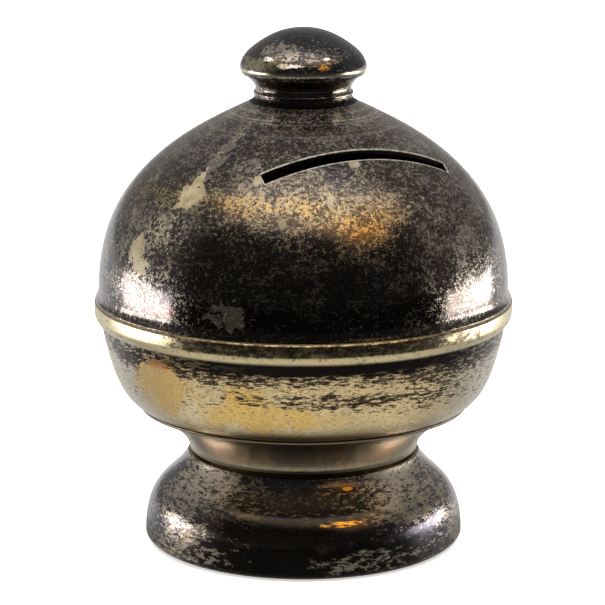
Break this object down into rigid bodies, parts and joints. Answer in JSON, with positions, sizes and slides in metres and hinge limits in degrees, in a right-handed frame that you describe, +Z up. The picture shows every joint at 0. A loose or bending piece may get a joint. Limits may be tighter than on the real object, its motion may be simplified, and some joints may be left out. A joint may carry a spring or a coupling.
{
  "type": "coin bank jar",
  "caption": "Ball-shaped spun brass coin bank with a slotted lift-off lid, turned knob and rim band, on a flared foot screwed up through a loose neck collar.",
  "frame": {"origin": "centre of the base, on the surface it stands on", "axes": "+Z up; the coin slot faces -Y and runs along X"},
  "size_m": [0.084, 0.084, 0.1042],
  "materials": {
    "tarnished_plate": "worn silver plate, dark with tarnish and speckled",
    "worn_brass": "worn plate over brass with dark streaks",
    "band_brass": "rubbed bright",
    "collar_brass": "smooth, dull polish",
    "plain_brass": "plain turned, dull",
    "screw_steel": "zinc plated, dull"
  },
  "bodies": {
    "foot": {"foot_shell": "tarnished_plate", "foot_boss": "plain_brass", "foot_rim_ring": "plain_brass"},
    "collar": {"neck_collar": "collar_brass"},
    "bowl": {"bowl_shell": "worn_brass", "rim_band": "band_brass", "bowl_washer": "plain_brass", "bowl_stud": "screw_steel"},
    "lid": {"lid_dome": "tarnished_plate", "lid_collar": "plain_brass", "knob_neck": "tarnished_plate", "knob_cap": "tarnished_plate", "knob_stud": "screw_steel", "knob_washer": "screw_steel", "knob_nut": "screw_steel"}
  },
  "joints": [
    {"name": "foot_unscrew", "type": "hinge", "parent": "foot", "child": "collar", "pos_m": [0, 0, 0.0189], "axis": [0, 0, 1], "range_deg": [0, 2160]},
    {"name": "bowl_rise", "type": "slide", "parent": "collar", "child": "bowl", "axis": [0, 0, 1], "range_m": [0, 0.00905]},
    {"name": "lid_lift", "type": "slide", "parent": "bowl", "child": "lid", "axis": [0, 0, 1], "range_m": [0, 0.07]}
  ],
  "couplings": [
    {"joint": "bowl_rise", "follows": "foot_unscrew", "m_per_rad": 0.00023873}
  ]
}
